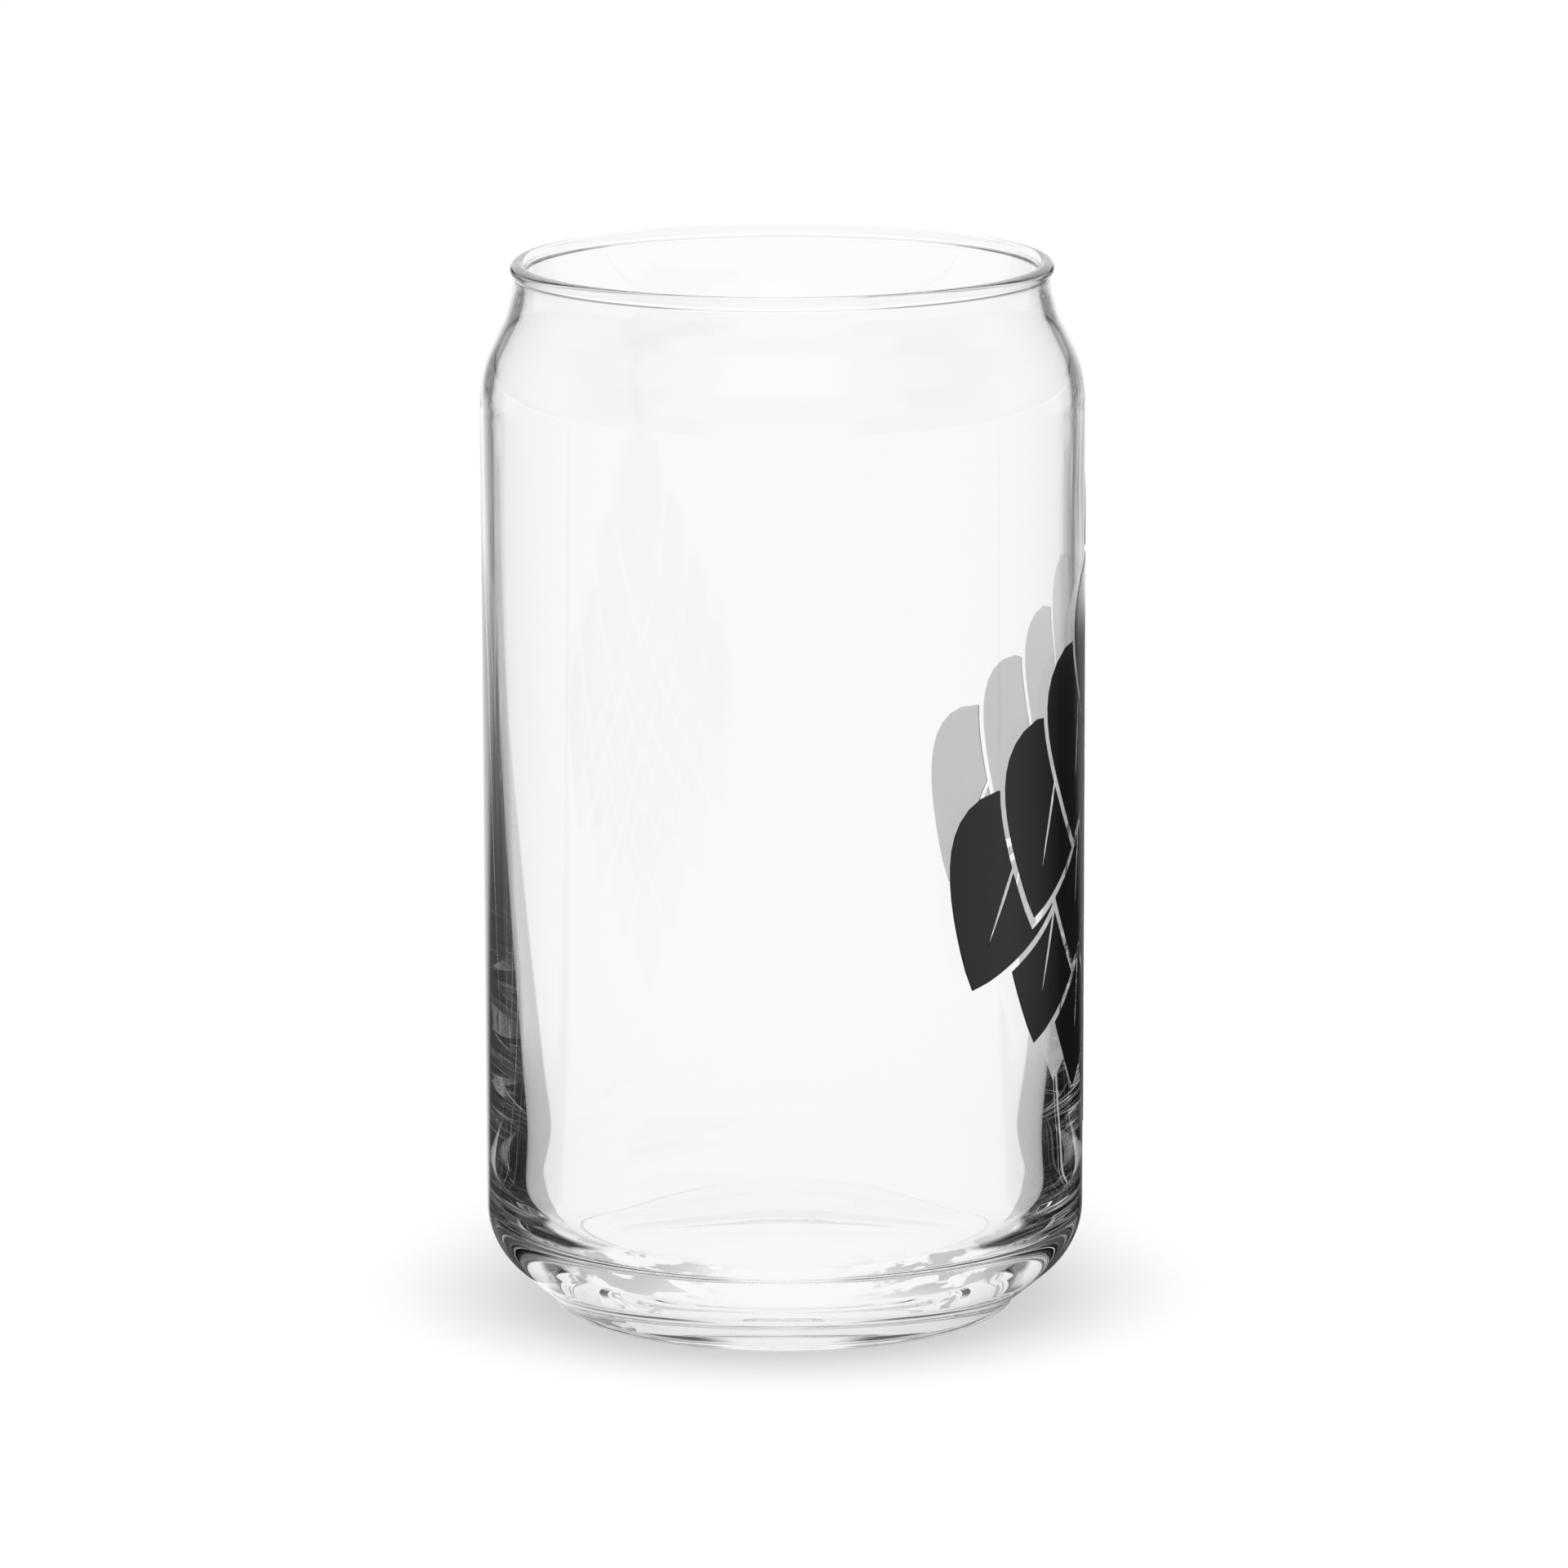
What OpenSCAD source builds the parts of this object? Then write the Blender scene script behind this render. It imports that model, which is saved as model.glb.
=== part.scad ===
// Can shaped drinking glass, about 16 fl oz to the brim: one revolved piece of clear glass and a printed layer.
// Millimetres, +Z up. The origin is the centre of the circle that the foot rests on.
// The outline from the bottom: rest ring, foot wall, straight bevel, base corner, straight body, S-curved
// shoulder, short neck, round rim bead. Inside, the wall thickens in an S-curve towards a heavy base.
// The print is centred on the +X side.

/* [Outside of the glass] */

// Height over the rim
total_h = 133.8; // [115:0.1:180]
// Outer radius of the straight body
body_r = 38.1; // [30:0.1:46]
// How far the short neck under the rim bead is set in from the body
neck_set_in = 4.3; // [3.4:0.1:7]
// Height of the straight neck, with the rim bead
neck_h = 2.2; // [2:0.1:6]
// Radius of the shoulder's rounding where it leaves the body
shoulder_round_r = 16.8; // [10:0.1:20]
// Radius of the shoulder's hollow where it meets the neck
shoulder_hollow_r = 12.9; // [8:0.1:16]
// Lean of the shoulder's steepest part, in degrees from upright
shoulder_lean = 26.2; // [24:0.1:40]
// Radius of the base corner, between the body and the bevel
base_corner_r = 9.5; // [6:0.1:12]
// Lean of the bevel, in degrees from upright
bevel_lean = 50; // [42:1:56]

/* [Wall and rim] */

// Thickness of the upper wall
wall = 1.6; // [1.3:0.05:1.9]
// Thickness of the wall just above the base
lower_wall = 4.6; // [3:0.1:6]
// How far below the shoulder's rounding the wall starts to thicken, on the way down
thick_drop = 18; // [5:1:45]
// Height at which the thickening curve turns over
thick_bend = 25.5; // [21:0.5:60]
// Height at which the thickening is complete
thick_from = 17; // [17:0.5:20]
// Radius of the round rim bead, whose inner side is flush with the neck
bead_r = 1; // [0.95:0.01:1.2]

/* [Base] */

// Height of the inner floor above the table
floor_z = 7.6; // [6:0.1:8]
// Radius of the inner corner, between the floor and the wall
floor_corner_r = 9; // [5:0.1:9]
// How far the foot is set in from the body
foot_set_in = 8.7; // [7:0.1:11]
// Height of the foot's upright wall
foot_h = 0.8; // [0.7:0.1:2]
// Radius of the foot's lower edge
foot_edge_r = 0.5; // [0.2:0.05:0.6]
// Width of the flat ring that the glass rests on
rest_w = 2.4; // [1:0.1:6]
// Rise of the hollow under the base, at its middle
push_up_h = 1.5; // [0.5:0.1:3]

/* [Print] */

// Thickness of the ink
ink_t = 0.1; // [0.05:0.01:0.2]
// Height of the middle of the printed hop cone above the table
print_z = 64; // [60:0.5:68]
// Rows of bracts in the cone
bract_rows = 7; // [5:1:7]
// Height from one row of bracts to the next
row_pitch = 8; // [6:0.1:9]
// Distance from one bract to the next in a row, along the wall
bract_pitch = 15.6; // [12:0.1:16.5]
// Length of a bract
bract_len = 26; // [20:0.5:28]
// Half of a bract's width
bract_half_w = 11.2; // [8:0.1:12]
// Sideways lean of the outermost bracts, in degrees
bract_fan = 26; // [10:1:34]
// Width of the clear line round each bract
clear_w = 1.1; // [0.6:0.1:1.4]
// Width of the clear vein in each bract
vein_w = 0.7; // [0.4:0.1:1]
// Width of the stalk at its lower end
stalk_w = 4.6; // [3:0.1:7]
// Length of the stalk
stalk_len = 11; // [7:0.5:13]

/* [Hidden] */

$fn = 180;

// How deep a rounding overlaps the straight-sided section behind its chord
cap_overlap = 0.2;
// Steps along each side of a bract, vein or stalk
outline_steps = 14;

// Outer radii of the neck and the foot
neck_r = body_r - neck_set_in;
foot_r = body_r - foot_set_in;

// Shoulder: both arcs and the straight stretch between them, as a point (radius, height) at each joint
neck_z = total_h - neck_h;
hollow_c = [neck_r + shoulder_hollow_r, neck_z];
hollow_low = hollow_c + shoulder_hollow_r * [-cos(shoulder_lean), -sin(shoulder_lean)];
round_top_r = body_r - shoulder_round_r * (1 - cos(shoulder_lean));
round_top_z = hollow_low[1] - (round_top_r - hollow_low[0]) / tan(shoulder_lean);
round_c = [body_r - shoulder_round_r, round_top_z - shoulder_round_r * sin(shoulder_lean)];

// Base corner and bevel
corner_low_r = body_r - base_corner_r * (1 - cos(bevel_lean));
corner_low_z = foot_h + (corner_low_r - foot_r) / tan(bevel_lean);
base_c = [body_r - base_corner_r, corner_low_z + base_corner_r * sin(bevel_lean)];
foot_edge_c = [foot_r - foot_edge_r, foot_edge_r];

// Push-up: a ball whose surface rises from the rest ring's inner edge
rest_in_r = foot_r - foot_edge_r - rest_w;
push_up_r = (rest_in_r * rest_in_r + push_up_h * push_up_h) / (2 * push_up_h);

// Cavity
upper_in_r = body_r - wall;
lower_in_r = body_r - lower_wall;
neck_in_r = neck_r - wall;
thick_to = round_c[1] - thick_drop;
thick_dz = thick_to - thick_from;
thick_dr = upper_in_r - lower_in_r;
thick_span_r = (thick_dz * thick_dz + thick_dr * thick_dr) / (2 * thick_dr);
thick_high_r = thick_span_r * (thick_to - thick_bend) / thick_dz;
thick_low_r = thick_span_r - thick_high_r;
thick_high_c = [upper_in_r - thick_high_r, thick_to];
thick_low_c = [lower_in_r + thick_low_r, thick_from];
thick_mid = thick_high_c + (thick_low_c - thick_high_c) * thick_high_r / thick_span_r;
floor_corner_c = [lower_in_r - floor_corner_r, floor_z + floor_corner_r];

// Point at an angle on a circle
function on(c, r, a) = c + r * [cos(a), sin(a)];

// Part of a disc beyond the chord from p to q, with a thin overlap behind the chord
module cap(c, r, p, q) {
    chord = q - p;
    side = [chord[1], -chord[0]] / norm(chord);
    away = (p - c) * side > 0 ? side : -side;
    intersection() {
        translate(c) circle(r = r, $fn = 720);
        polygon([
            p - away * cap_overlap,
            q - away * cap_overlap,
            q + away * r,
            p + away * r
        ]);
    }
}

// Section of the glass with its cavity and push-up still filled
module outside_section() {
    edge_low = on(foot_edge_c, foot_edge_r, -90);
    edge_high = on(foot_edge_c, foot_edge_r, 0);
    base_low = on(base_c, base_corner_r, -bevel_lean);
    base_high = on(base_c, base_corner_r, 0);
    round_low = on(round_c, shoulder_round_r, 0);
    round_high = on(round_c, shoulder_round_r, shoulder_lean);
    hollow_high = on(hollow_c, shoulder_hollow_r, 180);
    difference() {
        union() {
            polygon([
                [0, 0],
                edge_low,
                edge_high,
                [foot_r, foot_h],
                base_low,
                base_high,
                round_low,
                round_high,
                hollow_low,
                hollow_high,
                [neck_r, total_h - bead_r],
                [0, total_h - bead_r]
            ]);
            cap(foot_edge_c, foot_edge_r, edge_low, edge_high);
            cap(base_c, base_corner_r, base_low, base_high);
            cap(round_c, shoulder_round_r, round_low, round_high);
        }
        cap(hollow_c, shoulder_hollow_r, hollow_low, hollow_high);
    }
}

// Section of the space inside, open at the rim
module cavity_section() {
    inner_round_r = shoulder_round_r - wall;
    inner_hollow_r = shoulder_hollow_r + wall;
    floor_out = on(floor_corner_c, floor_corner_r, -90);
    wall_low = on(floor_corner_c, floor_corner_r, 0);
    thick_low = on(thick_low_c, thick_low_r, 180);
    thick_high = on(thick_high_c, thick_high_r, 0);
    round_low = on(round_c, inner_round_r, 0);
    round_high = on(round_c, inner_round_r, shoulder_lean);
    hollow_in_low = on(hollow_c, inner_hollow_r, 180 + shoulder_lean);
    hollow_in_high = on(hollow_c, inner_hollow_r, 180);
    difference() {
        union() {
            polygon([
                [0, floor_z],
                floor_out,
                wall_low,
                thick_low,
                thick_mid,
                thick_high,
                round_low,
                round_high,
                hollow_in_low,
                hollow_in_high,
                [neck_in_r, total_h],
                [0, total_h]
            ]);
            cap(floor_corner_c, floor_corner_r, floor_out, wall_low);
            cap(thick_high_c, thick_high_r, thick_mid, thick_high);
            cap(round_c, inner_round_r, round_low, round_high);
        }
        cap(thick_low_c, thick_low_r, thick_low, thick_mid);
        cap(hollow_c, inner_hollow_r, hollow_in_low, hollow_in_high);
    }
}

// The glass, revolved in one piece
module glass() {
    color([0.93, 0.96, 0.96, 0.35])
    rotate_extrude()
    union() {
        difference() {
            outside_section();
            cavity_section();
            translate([0, push_up_h - push_up_r]) circle(r = push_up_r, $fn = 720);
        }
        translate([neck_in_r + bead_r, total_h - bead_r]) circle(r = bead_r, $fn = 96);
    }
}

// Flat place of a point that lies u along the round wall and v up it, as seen from +X
function wrapped(u, v) = [body_r * sin(u / body_r * 180 / PI), v];

// Point p of an outline that starts at (u, v) and leans by a
function placed(p, u, v, a) = wrapped(
    u + p[0] * cos(a) - p[1] * sin(a),
    v + p[0] * sin(a) + p[1] * cos(a)
);

// Pointed leaf hanging down from its start: widest near the top, drawn in to a tip
function leaf(len, half) = [
    for (i = [0 : 2 * outline_steps - 1])
    let (
        side = i < outline_steps ? 1 : -1,
        t = (i < outline_steps ? i : 2 * outline_steps - i) / outline_steps
    )
    [side * half * pow(sin(180 * pow(t, 0.62)), 0.85), -len * t]
];

// Bracts in row k, counted from the lowest: one more in each row up to four, then fewer again
function in_row(k) = min(k + 1, bract_rows - k, 4);

// Start and lean of each bract, lowest row first and outer bracts before inner ones
bracts = [
    for (k = [0 : bract_rows - 1])
    let (n = in_row(k))
    for (m = [0 : n - 1])
    let (
        u = (m % 2 == 0 ? 1 : -1) * ((n - 1) / 2 - floor(m / 2)) * bract_pitch,
        v = print_z + row_pitch * (k - (bract_rows - 1) / 2) + bract_len / 3 - abs(u) * 0.12
    )
    [u, v, bract_fan * u / (1.5 * bract_pitch)]
];

// One bract's outline, grown all round by g
module bract(b, g) {
    polygon([
        for (p = leaf(bract_len + 2.4 * g, bract_half_w + g))
        placed(p + [0, g], b[0], b[1], b[2])
    ]);
}

// Clear vein down the middle of a bract
module vein(b) {
    polygon([
        for (p = leaf(bract_len * 0.5, vein_w / 2))
        placed(p - [0, bract_len * 0.3], b[0], b[1], b[2])
    ]);
}

// Bracts up to number i, each with a clear line where it lies over the ones before it
module bracts_to(i) {
    if (i >= 0) {
        difference() {
            bracts_to(i - 1);
            bract(bracts[i], clear_w);
        }
        difference() {
            bract(bracts[i], 0);
            vein(bracts[i]);
        }
    }
}

// Bent stalk that rises from the top of the cone
module stalk() {
    start_v = bracts[len(bracts) - 1][1] + clear_w;
    polygon([
        for (i = [0 : 2 * outline_steps + 1])
        let (
            side = i <= outline_steps ? 1 : -1,
            t = (i <= outline_steps ? i : 2 * outline_steps + 1 - i) / outline_steps,
            half = stalk_w / 2 * (1 - 0.55 * t)
        )
        wrapped(stalk_len * 0.35 * t * t + side * half, start_v + stalk_len * t)
    ]);
}

// The print: the flat drawing pushed through a thin skin on the body
module print() {
    color([0.02, 0.02, 0.02])
    intersection() {
        rotate([90, 0, 90])
        linear_extrude(height = 2 * body_r) {
            bracts_to(len(bracts) - 1);
            stalk();
        }
        difference() {
            cylinder(r = body_r + ink_t, h = neck_z);
            cylinder(r = body_r, h = neck_z);
        }
    }
}

glass();
print();
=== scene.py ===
import math

import bmesh
import bpy
import numpy as np
from mathutils import Matrix, Vector


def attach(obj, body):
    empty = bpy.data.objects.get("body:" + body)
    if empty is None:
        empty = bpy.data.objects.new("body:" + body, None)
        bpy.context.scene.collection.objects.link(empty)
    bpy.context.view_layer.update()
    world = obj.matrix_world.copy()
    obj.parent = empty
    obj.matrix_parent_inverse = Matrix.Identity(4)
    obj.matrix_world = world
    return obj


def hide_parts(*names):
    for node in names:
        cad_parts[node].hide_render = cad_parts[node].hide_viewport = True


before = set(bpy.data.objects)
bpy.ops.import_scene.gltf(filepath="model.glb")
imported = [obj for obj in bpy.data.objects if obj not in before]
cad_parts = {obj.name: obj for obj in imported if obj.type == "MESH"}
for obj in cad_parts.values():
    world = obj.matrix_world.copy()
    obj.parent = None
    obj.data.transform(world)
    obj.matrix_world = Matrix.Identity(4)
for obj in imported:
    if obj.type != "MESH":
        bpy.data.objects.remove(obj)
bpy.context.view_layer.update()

# Sizes of the glass, in millimetres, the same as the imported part's
TOTAL_H = 133.8
BODY_R = 38.1
NECK_R = 33.8
NECK_Z = 131.6
SHOULDER_ROUND_R = 16.8
SHOULDER_HOLLOW_R = 12.9
SHOULDER_LEAN = math.radians(26.2)
BASE_CORNER_R = 9.5
BEVEL_LEAN = math.radians(50)
WALL = 1.6
LOWER_WALL = 4.6
THICK_DROP = 18.0
THICK_BEND = 25.5
THICK_FROM = 17.0
BEAD_R = 1.0
FLOOR_Z = 7.6
FLOOR_CORNER_R = 9.0
FOOT_R = 29.4
FOOT_H = 0.8
FOOT_EDGE_R = 0.5
REST_W = 2.4
PUSH_UP_H = 1.5

# How the section is drawn and rounded, in millimetres: by POLISH_R everywhere, as fire polishing does, and
# by SINK_R inside, below SINK_TOP, where the gather of glass sank into its own smooth shape
DRAWN_STEP = 0.02
SAME_POINT = 1e-5
SECTION_STEP = 0.05
POLISH_R = 0.12
SINK_R = 1.6
SINK_TOP = 30.0
SINK_BAND = 8.0

# Slow waves that blowing left on the inner wall: depth in millimetres, number round the glass, phase, and
# twist on the way down. They start and end at shares of the way from the rim to the inner floor's middle.
WAVES = ((0.05, 2, 0.6, 3), (0.018, 5, 1.9, -7), (0.002, 13, 0.4, 11), (0.008, 3, 0, 37))
WAVES_START = 0.06
WAVES_GROW = 0.12
WAVES_END = 0.86
WAVES_FADE = 0.1
WAVES_FULL_R = 20.0

# The mesh of the glass: points in a ring, the turn and length from one ring to the next, how many times as
# many rings the inner floor has below FINE_TOP, and the steps along and around for the slopes
SEGMENTS = 288
RING_TURN = math.radians(5.5)
RING_SPAN = 2.6
FINE_TOP = 22.0
FINE_TIMES = 3
SLOPE_RUN = 0.08
SLOPE_TURN = 1e-3

# The ink, in millimetres, and the cuts that let it bend round the body, in degrees
INK_GAP = 0.02
INK_T = 0.06
PACKED_INK_T = 0.1
CUT_HALF = 75
CUT_STEP = 1.5

# One millimetre, and how near two points are welded before and after the cuts, in metres
MM = 0.001
WELD = 1e-6
CUT_WELD = 1e-7


def arc(centre, radius, start, end):
    """Points on an arc: centre + radius * (cos a, sin a), for a from start to end in radians."""
    count = max(3, int(abs(end - start) * radius / DRAWN_STEP))
    a = np.linspace(start, end, count)
    return np.stack([centre[0] + radius * np.cos(a), centre[1] + radius * np.sin(a)], 1)


def line(p, q):
    """Points on the straight stretch p + t * (q - p), for t from 0 to 1."""
    count = max(2, int(math.dist(p, q) / DRAWN_STEP))
    t = np.linspace(0, 1, count)[:, None]
    return (1 - t) * np.array(p, float) + t * np.array(q, float)


def glass_section():
    """The section of the glass as (radius, height) points about DRAWN_STEP apart, from the middle of the
    push-up round the outside, over the rim bead and down the inside to the middle of the floor."""
    cos_s, sin_s = math.cos(SHOULDER_LEAN), math.sin(SHOULDER_LEAN)
    hollow_c = (NECK_R + SHOULDER_HOLLOW_R, NECK_Z)
    hollow_r = hollow_c[0] - SHOULDER_HOLLOW_R * cos_s
    hollow_z = NECK_Z - SHOULDER_HOLLOW_R * sin_s
    round_r = BODY_R - SHOULDER_ROUND_R * (1 - cos_s)
    round_z = hollow_z - (round_r - hollow_r) / math.tan(SHOULDER_LEAN)
    round_c = (BODY_R - SHOULDER_ROUND_R, round_z - SHOULDER_ROUND_R * sin_s)
    low_r = BODY_R - BASE_CORNER_R * (1 - math.cos(BEVEL_LEAN))
    low_z = FOOT_H + (low_r - FOOT_R) / math.tan(BEVEL_LEAN)
    base_c = (BODY_R - BASE_CORNER_R, low_z + BASE_CORNER_R * math.sin(BEVEL_LEAN))
    rest_in = FOOT_R - FOOT_EDGE_R - REST_W
    push_r = (rest_in**2 + PUSH_UP_H**2) / (2 * PUSH_UP_H)
    push_a = math.asin(rest_in / push_r)
    bead_c = (NECK_R - WALL + BEAD_R, TOTAL_H - BEAD_R)
    bead_a = -math.acos((NECK_R - bead_c[0]) / BEAD_R)
    bead_z = bead_c[1] + BEAD_R * math.sin(bead_a)
    upper_in, lower_in, neck_in = BODY_R - WALL, BODY_R - LOWER_WALL, NECK_R - WALL
    thick_to = round_c[1] - THICK_DROP
    dz, dr = thick_to - THICK_FROM, upper_in - lower_in
    span_r = (dz**2 + dr**2) / (2 * dr)
    high_r = span_r * (thick_to - THICK_BEND) / dz
    thick_a = math.asin(dz / span_r)
    corner_c = (lower_in - FLOOR_CORNER_R, FLOOR_Z + FLOOR_CORNER_R)
    in_round, in_hollow = SHOULDER_ROUND_R - WALL, SHOULDER_HOLLOW_R + WALL
    parts = [
        arc((0, PUSH_UP_H - push_r), push_r, math.pi / 2, math.pi / 2 - push_a),
        line((rest_in, 0), (FOOT_R - FOOT_EDGE_R, 0)),
        arc((FOOT_R - FOOT_EDGE_R, FOOT_EDGE_R), FOOT_EDGE_R, -math.pi / 2, 0),
        line((FOOT_R, FOOT_EDGE_R), (FOOT_R, FOOT_H)),
        line((FOOT_R, FOOT_H), (low_r, low_z)),
        arc(base_c, BASE_CORNER_R, -BEVEL_LEAN, 0),
        line((BODY_R, base_c[1]), (BODY_R, round_c[1])),
        arc(round_c, SHOULDER_ROUND_R, 0, SHOULDER_LEAN),
        line((round_r, round_z), (hollow_r, hollow_z)),
        arc(hollow_c, SHOULDER_HOLLOW_R, math.pi + SHOULDER_LEAN, math.pi),
        line((NECK_R, NECK_Z), (NECK_R, bead_z)),
        arc(bead_c, BEAD_R, bead_a, math.pi),
        line((neck_in, bead_c[1]), (neck_in, NECK_Z)),
        arc(hollow_c, in_hollow, math.pi, math.pi + SHOULDER_LEAN),
        arc(round_c, in_round, SHOULDER_LEAN, 0),
        line((upper_in, round_c[1]), (upper_in, thick_to)),
        arc((upper_in - high_r, thick_to), high_r, 0, -thick_a),
        arc((lower_in + span_r - high_r, THICK_FROM), span_r - high_r, math.pi - thick_a, math.pi),
        line((lower_in, THICK_FROM), (lower_in, corner_c[1])),
        arc(corner_c, FLOOR_CORNER_R, 0, -math.pi / 2),
        line((corner_c[0], FLOOR_Z), (0, FLOOR_Z)),
    ]
    points = np.concatenate(parts)
    keep = np.append(True, np.hypot(*np.diff(points, axis=0).T) > SAME_POINT)
    return points[keep]


def softened(section, radius):
    """The section, given every SECTION_STEP, blurred along its length by a Gaussian of that radius in
    millimetres, which rounds each corner. Both ends stay on the axis."""
    reach = int(4 * radius / SECTION_STEP)
    kernel = np.exp(-0.5 * (np.arange(-reach, reach + 1) * SECTION_STEP / radius) ** 2)
    kernel /= kernel.sum()
    mirror = np.array([-1, 1])
    wide = np.concatenate([section[reach:0:-1] * mirror, section, section[-2 : -reach - 2 : -1] * mirror])
    blurred = np.stack([np.convolve(wide[:, k], kernel, "valid") for k in (0, 1)], 1)
    blurred[[0, -1], 0] = 0
    return blurred


def polished_section():
    """The lengths along the section every SECTION_STEP and its points there: softened by POLISH_R and,
    inside, by SINK_R instead, with a smooth passage over SINK_BAND of height below SINK_TOP."""
    points = glass_section()
    run = np.append(0, np.cumsum(np.hypot(*np.diff(points, axis=0).T)))
    even = np.linspace(0, run[-1], int(run[-1] / SECTION_STEP))
    section = np.stack([np.interp(even, run, points[:, k]) for k in (0, 1)], 1)
    inside = even > even[np.argmax(section[:, 1])]
    share = np.clip((SINK_TOP - section[:, 1]) / SINK_BAND, 0, 1) * inside
    share = (share * share * (3 - 2 * share))[:, None]
    return even, (1 - share) * softened(section, POLISH_R) + share * softened(section, SINK_R)


def chosen_rings(run, section):
    """Places along the section for the rings of the mesh: a new ring where the section has turned by
    RING_TURN since the last one, or run on by RING_SPAN, and FINE_TIMES as many round the inner floor."""
    step = np.diff(section, axis=0)
    heading = np.unwrap(np.arctan2(step[:, 1], step[:, 0]))
    inside = np.arange(len(step)) > np.argmax(section[:, 1])
    finer = np.where(inside & (section[1:, 1] < FINE_TOP), FINE_TIMES, 1)
    share = np.abs(np.diff(heading, prepend=heading[0])) / RING_TURN + np.diff(run) / RING_SPAN
    load = np.append(0, np.cumsum(finer * share))
    count = int(load[-1]) + 1
    return np.interp(np.linspace(0, load[-1], count), load, run)


def wavy(run, angle, rim_run, end_run):
    """Depth in millimetres of the slow waves: the sum of depth * sin(number * angle + phase + twist *
    down), with down as the share of the way from the rim to the middle of the inner floor, faded out
    towards both."""
    down = (run - rim_run) / (end_run - rim_run)
    grown = np.clip((down - WAVES_START) / WAVES_GROW, 0, 1)
    left = np.clip((WAVES_END - down) / WAVES_FADE, 0, 1)
    total = sum(
        depth * np.sin(number * angle + phase + twist * down) for depth, number, phase, twist in WAVES
    )
    return grown * left * total


def surface_of(run, section):
    """Returns the surface function f(s, a): the section's point at length s, pushed inwards by wavy, less
    so nearer the axis than WAVES_FULL_R, and turned by the angle a round +Z. Its result is in millimetres,
    with x, y and z in the last axis."""
    rim_run = run[np.argmax(section[:, 1])]

    def point(s, a):
        r = np.interp(s, run, section[:, 0])
        z = np.interp(s, run, section[:, 1])
        r = r - wavy(s, a, rim_run, run[-1]) * np.clip(r / WAVES_FULL_R, 0, 1)
        return np.stack([r * np.cos(a), r * np.sin(a), z + 0 * a], -1)

    return point


def ring_faces(rings):
    """Faces of a closed mesh of rings, where point j of ring i has the number i * SEGMENTS + j and the
    last two points are the poles: quads between the rings, and a fan round each pole."""
    i, j = np.meshgrid(np.arange(rings - 1), np.arange(SEGMENTS), indexing="ij")
    here, beside = i * SEGMENTS + j, i * SEGMENTS + (j + 1) % SEGMENTS
    quads = np.stack([here, beside, beside + SEGMENTS, here + SEGMENTS], -1).reshape(-1, 4)
    j = np.arange(SEGMENTS)
    k = (j + 1) % SEGMENTS
    last = (rings - 1) * SEGMENTS
    first_pole, last_pole = rings * SEGMENTS, rings * SEGMENTS + 1
    first_fan = np.stack([first_pole + 0 * j, k, j], -1)
    last_fan = np.stack([last_pole + 0 * j, last + j, last + k], -1)
    return quads.tolist() + first_fan.tolist() + last_fan.tolist()


def placed(name, data):
    """A new object of that name and data, at the origin."""
    piece = bpy.data.objects.new(name, data)
    bpy.context.collection.objects.link(piece)
    return piece


def revolved(name, material):
    """The glass as a closed mesh: the surface function at the chosen rings and at SEGMENTS angles, and a
    point at each pole, with normals from the cross product of the function's two slopes."""
    run, section = polished_section()
    point = surface_of(run, section)
    places = chosen_rings(run, section)[1:-1]
    s, a = np.meshgrid(places, np.linspace(0, 2 * np.pi, SEGMENTS, endpoint=False), indexing="ij")
    along = point(s + SLOPE_RUN, a) - point(s - SLOPE_RUN, a)
    around = point(s, a + SLOPE_TURN) - point(s, a - SLOPE_TURN)
    normal = np.cross(around, along)
    normal /= np.linalg.norm(normal, axis=-1, keepdims=True)
    poles = [[0, 0, section[0, 1]], [0, 0, section[-1, 1]]]
    co = np.concatenate([point(s, a).reshape(-1, 3), poles])
    no = np.concatenate([normal.reshape(-1, 3), [[0, 0, -1], [0, 0, 1]]])
    mesh = bpy.data.meshes.new(name)
    mesh.from_pydata((co * MM).tolist(), [], ring_faces(len(places)))
    mesh.polygons.foreach_set("use_smooth", [True] * len(mesh.polygons))
    mesh.normals_split_custom_set_from_vertices(no.tolist())
    mesh.materials.append(material)
    return placed(name, mesh)


def finely_cut(name):
    """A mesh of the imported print's faces, cut along a plane through the axis every CUT_STEP."""
    built = bmesh.new()
    built.from_mesh(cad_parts["print"].data)
    bmesh.ops.remove_doubles(built, verts=built.verts, dist=WELD)
    for degrees in np.arange(-CUT_HALF, CUT_HALF + CUT_STEP / 2, CUT_STEP):
        a = math.radians(degrees)
        square = (-math.sin(a), math.cos(a), 0)
        parts = built.verts[:] + built.edges[:] + built.faces[:]
        bmesh.ops.bisect_plane(built, geom=parts, plane_co=(0, 0, 0), plane_no=square, dist=CUT_WELD)
    bmesh.ops.remove_doubles(built, verts=built.verts, dist=CUT_WELD)
    bmesh.ops.recalc_face_normals(built, faces=built.faces)
    mesh = bpy.data.meshes.new(name)
    built.to_mesh(mesh)
    built.free()
    return mesh


def values_of(items, key, kind=float, width=1):
    """One value of every item of a mesh, as an array with that many columns."""
    values = np.empty(len(items) * width, kind)
    items.foreach_get(key, values)
    return values if width == 1 else values.reshape(-1, width)


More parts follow.
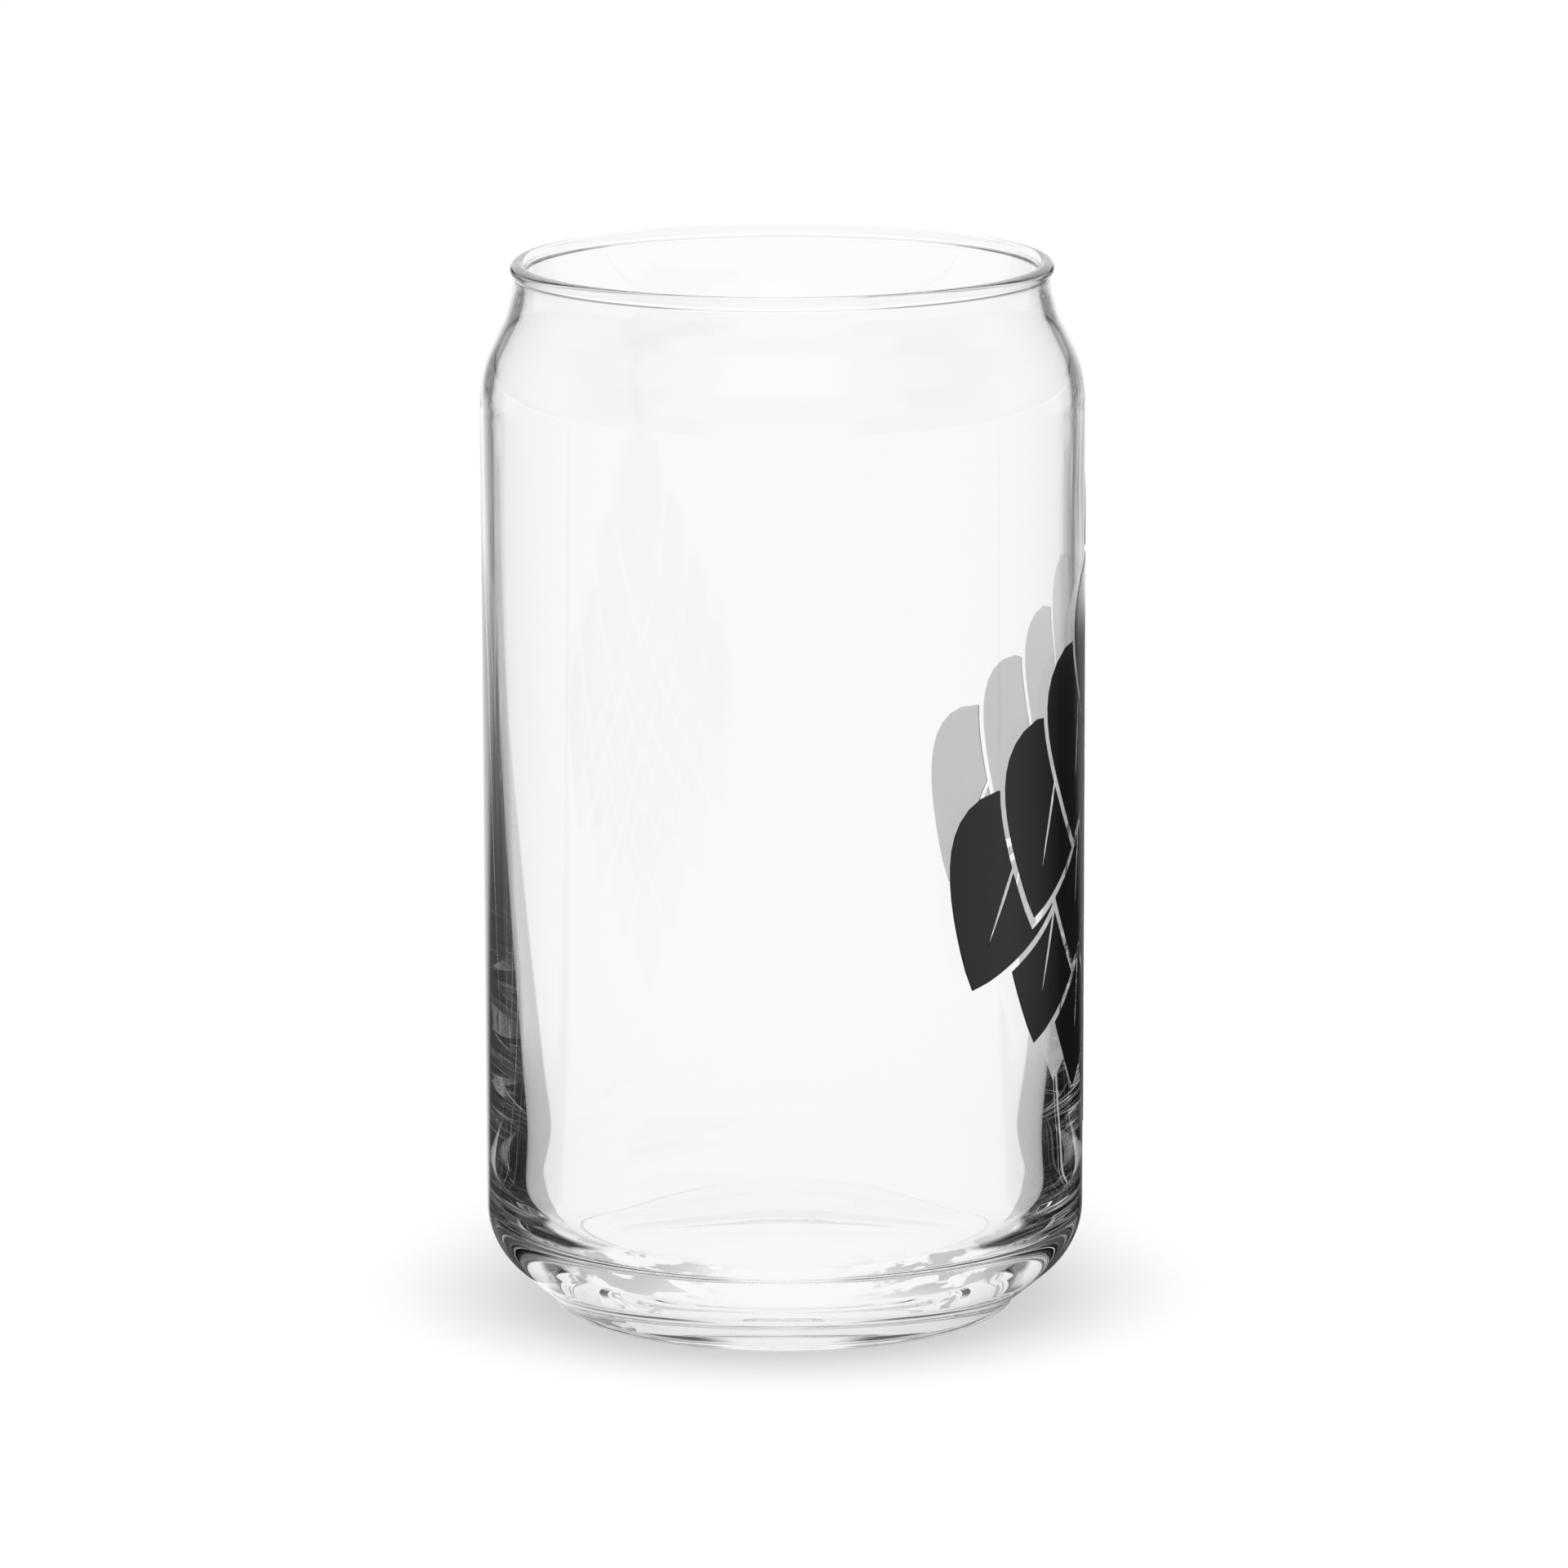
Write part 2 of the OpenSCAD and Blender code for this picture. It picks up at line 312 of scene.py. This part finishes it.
def printed(name, outer_material, inner_material):
    """The print, finely cut, with each point moved along its radius to just off the glass, or one ink
    thickness further out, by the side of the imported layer's middle that it lies on. The faces on both
    sides get the cylinder's normals, and the edges of the ink keep their own."""
    mesh = finely_cut(name)
    co = values_of(mesh.vertices, "co", width=3)
    facing = values_of(mesh.polygons, "normal", width=3)
    corners = values_of(mesh.loops, "vertex_index", int)
    sizes = values_of(mesh.polygons, "loop_total", int)
    face = np.repeat(np.arange(len(sizes)), sizes)
    r = np.hypot(co[:, 0], co[:, 1])
    outside = r > (BODY_R + PACKED_INK_T / 2) * MM
    share = np.bincount(face, outside[corners]) / sizes
    goal = (BODY_R + INK_GAP + np.where(outside, INK_T, 0)) * MM
    co[:, :2] *= (goal / r)[:, None]
    mesh.vertices.foreach_set("co", co.ravel())
    mesh.materials.append(outer_material)
    mesh.materials.append(inner_material)
    mesh.polygons.foreach_set("material_index", (share == 0).astype(int))
    mesh.polygons.foreach_set("use_smooth", [True] * len(mesh.polygons))
    mesh.update()
    radial = co[corners] * np.array([1, 1, 0]) / np.hypot(co[corners, 0], co[corners, 1])[:, None]
    side = share[face][:, None]
    normals = np.where(side == 1, radial, np.where(side == 0, -radial, facing[face]))
    mesh.normals_split_custom_set(normals.tolist())
    return placed(name, mesh)


# Materials of the part


def principled(name, colour, roughness, **values):
    """A material with one Principled node and plain values."""
    material = bpy.data.materials.new(name)
    material.use_nodes = True
    shader = material.node_tree.nodes["Principled BSDF"]
    shader.inputs["Base Color"].default_value = (*colour, 1)
    shader.inputs["Roughness"].default_value = roughness
    for key, value in values.items():
        shader.inputs[key.replace("_", " ")].default_value = value
    return material


clear_glass = principled("clear_glass", (0.99, 0.99, 0.99), 0.0, Transmission_Weight=1.0, IOR=1.52)
black_ink = principled("black_ink", (0.004, 0.004, 0.0045), 0.12, IOR=1.5)
ink_back = principled("ink_back", (0.57, 0.57, 0.57), 0.5, IOR=1.45)

glass = revolved("glass_body", clear_glass)
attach(glass, "root")
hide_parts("glass")

ink = printed("printed_hop", black_ink, ink_back)
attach(ink, "root")
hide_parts("print")


# Stage: a white floor and white room. A ray that has been mirrored sees a darker room instead: painted
# reflection in the world and in the floor's glow, standing in for the black screens of a glass
# photographer's studio, which the scene does not have. The floor is in metres and bearings in degrees.

LIGHT = 1.13
# Brightness of the painted lamp glint that the outer surface mirrors; no lamp is there
PAINTED_LAMP_GLINT = 0.8
FLOOR_SIZE = 24
FLOOR_GAP = 0.00005
FLOOR_ALBEDO = 0.7

# A ray has crossed the glass when it has passed more of its surfaces than this, and is trapped in the wall
# when it has been mirrored more often than this
CROSSED_AFTER = 3.5
TRAPPED_AFTER = 7.5

# Half the width of the paper behind the glass, the radius of a fine painted ring of light on the painted
# screens, and the edge where the painted screens end in front: it lies FRONT_EDGE_Y in front of the axis
# and, within
# FRONT_EDGE_X of the middle line, leans further out by FRONT_EDGE_LEAN
PAPER_HALF = 0.034
PAINTED_LIGHT_RING_R = 0.0836
FRONT_EDGE_X = 0.041
FRONT_EDGE_Y = 0.005
FRONT_EDGE_LEAN = 1.6


class Nodes:
    """Short calls for building a node tree."""

    def __init__(self, tree):
        self.tree = tree
        tree.nodes.clear()

    def add(self, kind, **settings):
        """A new node with those settings."""
        node = self.tree.nodes.new(kind)
        for key, value in settings.items():
            setattr(node, key, value)
        return node

    def put(self, socket, value):
        """Sets the socket to a plain value, or links it where the value is another node's output."""
        if isinstance(value, bpy.types.NodeSocket):
            self.tree.links.new(value, socket)
        else:
            socket.default_value = value

    def math(self, operation, first, *others):
        """The operation on one value, or on two, and then on each result and the next value."""
        for other in others or (0.0,):
            node = self.add("ShaderNodeMath", operation=operation)
            self.put(node.inputs[0], first)
            self.put(node.inputs[1], other)
            first = node.outputs[0]
        return first

    def times(self, *values):
        return self.math("MULTIPLY", *values)

    def plus(self, *values):
        return self.math("ADD", *values)

    def minus(self, a, b):
        return self.math("SUBTRACT", a, b)

    def most(self, *values):
        return self.math("MAXIMUM", *values)

    def above(self, value, limit):
        """1 where value is above limit, 0 elsewhere."""
        return self.math("GREATER_THAN", value, limit)

    def degrees(self, across, ahead):
        """The bearing atan2(across, ahead), in degrees."""
        return self.times(self.math("ARCTAN2", across, ahead), 180 / math.pi)

    def folded(self, bearing):
        """The angle from straight behind or straight in front, whichever is nearer."""
        return self.math("MINIMUM", bearing, self.minus(180.0, bearing))

    def ramp(self, value, low, high, start, end):
        """value mapped smoothly from low..high to start..end."""
        node = self.add("ShaderNodeMapRange", interpolation_type="SMOOTHSTEP")
        for socket, v in zip(node.inputs[:5], (value, low, high, start, end)):
            self.put(socket, v)
        return node.outputs[0]

    def mixed(self, factor, a, b):
        """a where factor is 0, b where it is 1, for plain numbers."""
        node = self.add("ShaderNodeMix", data_type="FLOAT")
        self.put(node.inputs["Factor"], factor)
        self.put(node.inputs["A"], a)
        self.put(node.inputs["B"], b)
        return node.outputs["Result"]

    def blended(self, factor, a, b):
        """The same for two shader nodes."""
        node = self.add("ShaderNodeMixShader")
        for socket, v in zip(node.inputs, (factor, a.outputs[0], b.outputs[0])):
            self.put(socket, v)
        return node

    def noise(self, vector, scale, detail, roughness):
        """Noise from 0 to 1."""
        node = self.add("ShaderNodeTexNoise")
        self.put(node.inputs["Vector"], vector)
        node.inputs["Scale"].default_value = scale
        node.inputs["Detail"].default_value = detail
        node.inputs["Roughness"].default_value = roughness
        return node.outputs["Fac"]


class Ray:
    """What a ray comes from and what it has met so far. Each value is 0 or 1."""

    def __init__(self, n):
        path = n.add("ShaderNodeLightPath")
        self.from_camera = path.outputs["Is Camera Ray"]
        self.from_matt = path.outputs["Is Diffuse Ray"]
        self.mirrored = n.above(path.outputs["Glossy Depth"], 0.5)
        self.trapped = n.above(path.outputs["Glossy Depth"], TRAPPED_AFTER)
        self.entered = n.above(path.outputs["Transmission Depth"], 0.5)
        self.crossed = n.above(path.outputs["Transmission Depth"], CROSSED_AFTER)


def painted_room_outside(n, bearing, height):
    """Painted reflection: the room as the outer surface mirrors it, seen by mirrored rays only. High up it
    is white behind, dark beside and has a painted lamp glint in front, from no lamp. Low down it is grey in
    front and white elsewhere, but for a dark strip along the floor."""
    low_room = n.times(n.ramp(height, 0.0, 28.0, 0.6, 0.1), n.ramp(bearing, 45.0, 105.0, 0.3, 1.0))
    room = n.most(n.ramp(bearing, 24.0, 36.0, 1.1, 0.1), low_room)
    beside = n.times(n.ramp(bearing, 32.0, 42.0, 0.0, 1.0), n.ramp(bearing, 50.0, 70.0, 1.15, 0.88))
    behind = n.ramp(bearing, 10.0, 20.0, 1.1, 0.1)
    level_room = n.most(behind, beside, n.ramp(height, 1.0, 4.0, 0.0, 1.15))
    level_share = n.times(n.ramp(height, 20.0, 34.0, 1.0, 0.0), n.ramp(bearing, 80.0, 110.0, 1.0, 0.0))
    painted_lamp_glint = n.times(n.ramp(bearing, 142.0, 162.0, 0.0, 1.0), n.ramp(height, 28.0, 38.0, 0.0, 1.0))
    painted_lamp_glint = n.times(painted_lamp_glint, n.ramp(height, 42.0, 54.0, 1.0, 0.0), PAINTED_LAMP_GLINT)
    return n.plus(n.mixed(level_share, room, level_room), painted_lamp_glint)


def painted_room_inside(n, bearing, height):
    """Painted reflection: the room as the inside of the wall and base mirrors it: dark low down, but for
    white behind and a painted lamp glint in front, from no lamp."""
    behind = n.ramp(bearing, 8.0, 16.0, 1.0, 0.1)
    overhead = n.ramp(height, 22.0, 42.0, 0.0, 0.95)
    painted_front_lamp = n.times(n.ramp(bearing, 120.0, 134.0, 0.0, 0.9), n.ramp(height, 12.0, 15.0, 0.0, 1.0))
    return n.most(behind, overhead, painted_front_lamp, n.ramp(bearing, 140.0, 160.0, 0.0, 0.9))


def painted_room_led_round(n, ray, bearing, height):
    """Painted reflection: the room at the end of many mirrorings in the wall: dark, but for white overhead
    and for what lies high behind or in front of the glass, and paler for a ray that has crossed the glass."""
    steep = n.times(n.ramp(n.folded(bearing), 15.0, 30.0, 1.0, 0.02), n.ramp(height, 12.0, 22.0, 0.02, 1.0))
    crossed_view = n.times(ray.crossed, n.ramp(bearing, 50.0, 100.0, 1.0, 0.5))
    return n.most(steep, n.ramp(height, 25.0, 40.0, 0.0, 0.95), crossed_view)


def studio_room():
    """The world: white, and painted reflections for rays that have been mirrored. A bearing is 0 straight
    behind the glass and 180 in front, on both sides alike. Rays not yet mirrored see it white, dimmed by
    painted shade above the horizon where they have passed one wall of the glass only."""
    world = bpy.data.worlds.new("studio")
    bpy.context.scene.world = world
    world.use_nodes = True
    n = Nodes(world.node_tree)
    ray = Ray(n)
    way = n.add("ShaderNodeSeparateXYZ")
    n.put(way.inputs[0], n.add("ShaderNodeTexCoord").outputs["Generated"])
    bearing = n.degrees(n.math("ABSOLUTE", way.outputs[0]), way.outputs[1])
    height = n.times(n.math("ARCSINE", way.outputs[2]), 180 / math.pi)
    room = n.mixed(ray.entered, painted_room_outside(n, bearing, height), painted_room_inside(n, bearing, height))
    room = n.mixed(ray.trapped, n.mixed(ray.crossed, room, 1.0), painted_room_led_round(n, ray, bearing, height))
    # Painted shade: the world is dimmer above the horizon for rays that have passed one wall of the glass
    # only
    painted_dim = n.times(n.ramp(bearing, 1.0, 2.2, 0.25, 0.65), n.ramp(height, 9.0, 13.0, 0.0, 1.0))
    painted_dim = n.times(painted_dim, n.minus(ray.entered, ray.crossed))
    level = n.mixed(ray.from_camera, n.mixed(ray.mirrored, n.minus(LIGHT, painted_dim), room), 1.0)
    background = n.add("ShaderNodeBackground")
    background.inputs["Color"].default_value = (1, 1, 1, 1)
    n.put(background.inputs["Strength"], level)
    n.put(n.add("ShaderNodeOutputWorld").inputs["Surface"], background.outputs[0])


class Spot:
    """A place on the floor: its coordinates, its distance from the axis, and its bearings from the axis
    and from the near edge of the glass, 0 straight behind and 180 in front."""

    def __init__(self, n):
        self.place = n.add("ShaderNodeTexCoord").outputs["Object"]
        split = n.add("ShaderNodeSeparateXYZ")
        n.put(split.inputs[0], self.place)
        self.x, self.y = split.outputs[0], split.outputs[1]
        self.across = n.math("ABSOLUTE", self.x)
        self.away = n.math("SQRT", n.plus(n.times(self.x, self.x), n.times(self.y, self.y)))
        self.around = n.degrees(self.across, self.y)
        self.aside = n.most(n.degrees(n.minus(self.across, PAPER_HALF), self.y), 0.0)


def seen_straight(n, ray, spot):
    """Seen straight through the glass: white paper and, through both walls, painted grey screens beside it
    that the scene does not have.
    """
    painted_screens = n.most(n.ramp(spot.aside, 14.0, 15.2, 1.0, 0.56), n.ramp(spot.aside, 44.0, 60.0, 0.0, 0.9))
    return n.mixed(ray.crossed, 1.0, n.most(painted_screens, n.ramp(spot.away, 0.63, 0.7, 0.0, 1.0)))


def painted_streaked_screens(n, spot):
    """Painted reflection: dark screens, which the scene does not have, as the wall mirrors them, with
    streaks, hairlines and one fine painted ring of light.
    """
    turned = n.add("ShaderNodeCombineXYZ")
    n.put(turned.inputs[0], n.times(n.math("ARCTAN2", spot.x, spot.y), 9.0))
    n.put(turned.inputs[1], n.times(spot.away, 3.0))
    streaks = n.ramp(n.noise(turned.outputs[0], 1.6, 5.0, 0.6), 0.35, 0.75, 0.5, 1.7)
    painted_screens = n.times(n.ramp(spot.away, 0.1, 0.5, 0.012, 0.36), streaks)
    off_line = n.math("ABSOLUTE", n.minus(n.noise(turned.outputs[0], 0.45, 1.0, 0.5), 0.5))
    painted_hairlines = n.times(n.ramp(off_line, 0.0, 0.004, 0.7, 0.0), n.ramp(spot.away, 0.2, 0.3, 1.0, 0.0))
    off_ring = n.math("ABSOLUTE", n.minus(spot.away, PAINTED_LIGHT_RING_R))
    return n.most(n.plus(painted_screens, painted_hairlines), n.ramp(off_ring, 0.0001, 0.0003, 0.5, 0.0))


def under_glass(n, spot):
    """The paper right under the glass: white in the middle, with painted shadow as grey patches towards both
    sides.
    """
    painted_shadow_patch = n.ramp(n.noise(spot.place, 150.0, 3.0, 0.5), 0.48, 0.53, 0.0, 1.0)
    painted_shadow_patch = n.times(painted_shadow_patch, n.ramp(spot.across, 0.006, 0.02, 0.0, 1.0))
    return n.mixed(painted_shadow_patch, 1.0, 0.6)


def seen_in_wall(n, spot):
    """Painted reflection, seen by mirroring inside the wall and base: the paper, dark painted screens beside
    it and the room past them. The painted screens end in front along a leaning edge, and painted shade makes
    them darkest close to the glass."""
    away, across, aside, y = spot.away, spot.across, spot.aside, spot.y
    under = under_glass(n, spot)
    beyond = n.ramp(away, 0.036, 0.046, 0.0, 1.0)
    painted_screens = painted_streaked_screens(n, spot)
    view = n.mixed(n.ramp(aside, 15.3, 16.7, 0.0, 1.0), n.mixed(beyond, under, 0.95), painted_screens)
    past = n.minus(aside, n.ramp(away, 0.12, 0.2, 6.0, 0.0))
    view = n.mixed(n.ramp(past, 42.0, 48.0, 0.0, 1.0), view, n.ramp(away, 0.09, 0.13, 0.02, 0.75))
    lean = n.times(n.most(n.minus(FRONT_EDGE_X, across), 0.0), FRONT_EDGE_LEAN)
    edge = n.plus(y, FRONT_EDGE_Y, lean)
    view = n.mixed(n.ramp(edge, -0.003, 0.003, 1.0, 0.0), view, n.mixed(beyond, under, 0.75))
    # Painted shade: a dark flank beside the glass at its sides, behind the front edge of the painted screens
    painted_dark_flank = n.times(n.ramp(across, 0.029, 0.033, 0.0, 0.97), n.ramp(edge, -0.003, 0.003, 0.0, 1.0))
    painted_dark_flank = n.times(painted_dark_flank, n.ramp(y, 0.0, 0.01, 1.0, 0.0))
    return n.times(view, n.minus(1.0, painted_dark_flank))


def seen_outside(n, spot):
    """Painted reflection, mirrored by the outer surface: the paper, black painted screens beside it, blacker
    still on the printed side, where they paint the ink's sheen dark, then the grey room. Far off, the low
    part of the room takes their place."""
    away, aside = spot.away, spot.aside
    beside_print = n.times(n.ramp(spot.x, -0.01, 0.01, 0.0, 1.0), n.ramp(away, 0.48, 0.53, 1.0, 0.0))
    dark = n.times(n.ramp(away, 0.1, 0.45, 0.12, 0.3), n.mixed(beside_print, 1.0, 0.05))
    nearer = n.minus(aside, n.ramp(away, 0.15, 0.45, 0.0, 10.0))
    view = n.mixed(n.ramp(nearer, 14.0, 26.0, 0.0, 1.0), n.mixed(beside_print, 1.05, 0.2), dark)
    near_dark = n.ramp(away, 0.08, 0.25, 0.03, 1.0)
    grey_room = n.times(n.ramp(aside, 45.0, 105.0, n.mixed(beside_print, 0.35, 0.0), 0.65), near_dark)
    view = n.mixed(n.ramp(aside, 44.0, 50.0, 0.0, 1.0), view, grey_room)
    view = n.mixed(n.ramp(spot.y, -0.03, 0.0, 1.0, 0.0), view, n.times(near_dark, 0.62))
    beside = n.times(n.ramp(aside, 32.0, 42.0, 0.0, 1.0), n.ramp(aside, 50.0, 70.0, 0.85, 0.45))
    level_view = n.most(n.ramp(aside, 10.0, 20.0, 1.05, 0.1), beside)
    level_share = n.times(n.ramp(away, 0.62, 1.4, 0.0, 1.0), n.ramp(aside, 75.0, 110.0, 1.0, 0.0))
    return n.mixed(level_share, view, level_view)


def led_round(n, spot):
    """Painted reflection, seen after many mirrorings in the wall: dark, but for what lies behind or in front
    of the glass.
    """
    in_line = n.ramp(n.folded(spot.around), 15.0, 30.0, 1.0, 0.02)
    return n.times(in_line, n.ramp(spot.away, 0.06, 0.1, 1.0, 0.02))


def camera_paper(n, ray, spot):
    """Seen by the camera: paper that takes the glass's real shadow, and painted shadow as well, where white
    glow fades into darker matt paper near the glass, and further out behind it.
    """
    matt = n.add("ShaderNodeBsdfDiffuse")
    matt.inputs["Color"].default_value = (FLOOR_ALBEDO, FLOOR_ALBEDO, FLOOR_ALBEDO, 1)
    # Painted shadow: far off the paper glows white; near the glass, and further out behind it, it fades into
    # matt paper
    painted_shadow_drift = n.plus(n.times(spot.y, 0.1), n.ramp(spot.y, 0.02, 0.07, 0.0, 0.01))
    painted_shadow_fade = n.times(n.ramp(n.minus(spot.away, painted_shadow_drift), 0.031, 0.056, 0.1, 1.0), ray.from_camera)
    return n.blended(painted_shadow_fade, matt, n.add("ShaderNodeEmission"))


def paper_floor():
    """The floor. Mirrored and refracted rays see it glow by what they have met, in painted reflections;
    others see the paper.
    """
    bpy.ops.mesh.primitive_plane_add(size=FLOOR_SIZE, location=(0, 0, -FLOOR_GAP))
    plane = bpy.context.active_object
    plane.name = "floor"
    paper = bpy.data.materials.new("paper")
    paper.use_nodes = True
    plane.data.materials.append(paper)
    n = Nodes(paper.node_tree)
    ray, spot = Ray(n), Spot(n)
    inner = n.mixed(ray.trapped, n.mixed(ray.crossed, seen_in_wall(n, spot), 0.9), led_round(n, spot))
    mirrored = n.mixed(ray.entered, seen_outside(n, spot), inner)
    glow = n.add("ShaderNodeEmission")
    n.put(glow.inputs["Strength"], n.mixed(ray.mirrored, seen_straight(n, ray, spot), mirrored))
    either = n.blended(n.most(ray.from_camera, ray.from_matt), glow, camera_paper(n, ray, spot))
    n.put(n.add("ShaderNodeOutputMaterial").inputs["Surface"], either.outputs[0])
    return plane


studio_room()
floor = paper_floor()

# Camera, fitted to the outline of the glass in the photograph, in metres and in pixels of the photograph
AIM_Z = 0.06668
DISTANCE = 1.1305
ELEVATION = math.radians(11.363)
ROLL = 0.0028
PHOTO_PX = 1920
FOCAL_PX = 10905
CENTRE_PX = 959.44
SENSOR_MM = 36


def photo_camera():
    """A camera that looks ahead along +Y and down by ELEVATION at the height AIM_Z on the axis."""
    cos_e, sin_e = math.cos(ELEVATION), math.sin(ELEVATION)
    forward = Vector((0, cos_e, -sin_e))
    right = Vector((1, 0, 0))
    up = Vector((0, sin_e, cos_e))
    picture_x = right * math.cos(ROLL) - up * math.sin(ROLL)
    picture_y = right * math.sin(ROLL) + up * math.cos(ROLL)
    eye = Vector((0, -DISTANCE * cos_e, AIM_Z + DISTANCE * sin_e))
    lens = bpy.data.cameras.new("camera")
    lens.sensor_width = SENSOR_MM
    lens.lens = FOCAL_PX / PHOTO_PX * SENSOR_MM
    lens.shift_x = (PHOTO_PX / 2 - CENTRE_PX) / PHOTO_PX
    lens.clip_start = 0.05
    lens.clip_end = 50
    camera = placed("camera", lens)
    turn = Matrix((picture_x, picture_y, -forward)).transposed()
    camera.matrix_world = Matrix.Translation(eye) @ turn.to_4x4()
    return camera


scene = bpy.context.scene
scene.camera = photo_camera()
scene.view_settings.view_transform = "Standard"
scene.cycles.max_bounces = 72
scene.cycles.transmission_bounces = 64
scene.cycles.glossy_bounces = 64
scene.cycles.blur_glossy = 0.0
